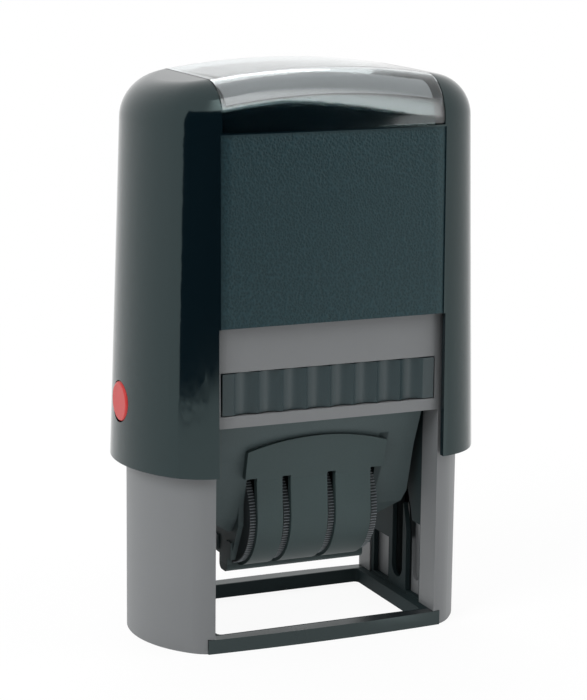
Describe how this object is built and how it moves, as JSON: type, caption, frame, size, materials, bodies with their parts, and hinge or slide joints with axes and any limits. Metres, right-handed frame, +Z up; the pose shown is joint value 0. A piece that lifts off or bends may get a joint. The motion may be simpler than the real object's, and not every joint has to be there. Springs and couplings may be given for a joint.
{
  "type": "self-inking date stamp",
  "caption": "Self-inking date stamp: pressing the black hood down a grey base turns the printing unit from the ink pad to the paper.",
  "frame": {"origin": "on the desk, under the middle of the base ring", "axes": "+Z up, -Y towards the user (the side with the date drum), +X to the right"},
  "size_m": [0.0728, 0.0382, 0.1097],
  "materials": {
    "grey_casing": "satin moulded plastic",
    "black_ring": "satin moulded plastic",
    "gloss_hood": "high gloss with a fine-grained panel",
    "clear_cap": "clear, polished",
    "card": "plain grey card",
    "red_button": "satin gloss",
    "yoke_plastic": "moulded plastic",
    "steel": "drawn steel",
    "unit_plastic": "fine matte",
    "wheel_plastic": "fine knurl",
    "plate_rubber": "engraved rubber",
    "band_rubber": "moulded rubber",
    "pad_plastic": "satin moulded plastic",
    "ink_felt": "inked felt"
  },
  "bodies": {
    "base": {"base_frame": "grey_casing", "base_ring": "black_ring", "press_spring": "steel"},
    "housing": {"housing_shell": "gloss_hood", "press_yoke": "yoke_plastic", "pivot_pin_right": "steel", "pivot_pin_left": "steel", "index_card": "card"},
    "cap": {"clear_cap": "clear_cap"},
    "button_right": {"lock_button_right": "red_button"},
    "button_left": {"lock_button_left": "red_button"},
    "print_unit": {"unit_body": "unit_plastic", "cam_pins": "steel", "drum_cover": "unit_plastic", "wheel_axle": "steel", "band_bridge": "unit_plastic", "text_plate": "plate_rubber", "date_band_1": "band_rubber", "date_band_2": "band_rubber", "date_band_3": "band_rubber", "date_band_4": "band_rubber"},
    "wheel_1": {"thumb_wheel_1": "wheel_plastic"},
    "wheel_2": {"thumb_wheel_2": "wheel_plastic"},
    "wheel_3": {"thumb_wheel_3": "wheel_plastic"},
    "wheel_4": {"thumb_wheel_4": "wheel_plastic"},
    "ink_pad": {"ink_pad_tray": "pad_plastic", "ink_felt": "ink_felt"}
  },
  "joints": [
    {"name": "press", "type": "slide", "parent": "base", "child": "housing", "axis": [0, 0, -1], "range_m": [0, 0.0306], "stiffness_N_per_m": 250, "springref_m": -0.02, "deforming": ["press_spring"]},
    {"name": "flip", "type": "hinge", "parent": "housing", "child": "print_unit", "pos_m": [0, 0, 0.038], "axis": [1, 0, 0], "range_deg": [0, 180]},
    {"name": "pad_slide", "type": "slide", "parent": "base", "child": "ink_pad", "axis": [0, 1, 0], "range_m": [-0.036, 0]},
    {"name": "button_right_push", "type": "slide", "parent": "housing", "child": "button_right", "axis": [-1, 0, 0], "range_m": [0, 0.0009], "stiffness_N_per_m": 500, "springref_m": -0.002},
    {"name": "button_left_push", "type": "slide", "parent": "housing", "child": "button_left", "axis": [1, 0, 0], "range_m": [0, 0.0009], "stiffness_N_per_m": 500, "springref_m": -0.002},
    {"name": "cap_lift", "type": "slide", "parent": "housing", "child": "cap", "axis": [0, 0, 1], "range_m": [0, 0.015]},
    {"name": "wheel_1_turn", "type": "hinge", "parent": "print_unit", "child": "wheel_1", "pos_m": [0, 0, 0.02325], "axis": [1, 0, 0], "continuous": true},
    {"name": "wheel_2_turn", "type": "hinge", "parent": "print_unit", "child": "wheel_2", "pos_m": [0, 0, 0.02325], "axis": [1, 0, 0], "continuous": true},
    {"name": "wheel_3_turn", "type": "hinge", "parent": "print_unit", "child": "wheel_3", "pos_m": [0, 0, 0.02325], "axis": [1, 0, 0], "continuous": true},
    {"name": "wheel_4_turn", "type": "hinge", "parent": "print_unit", "child": "wheel_4", "pos_m": [0, 0, 0.02325], "axis": [1, 0, 0], "continuous": true}
  ],
  "couplings": [
    {"joint": "flip", "follows": "press", "rad_per_m": 102.67}
  ]
}
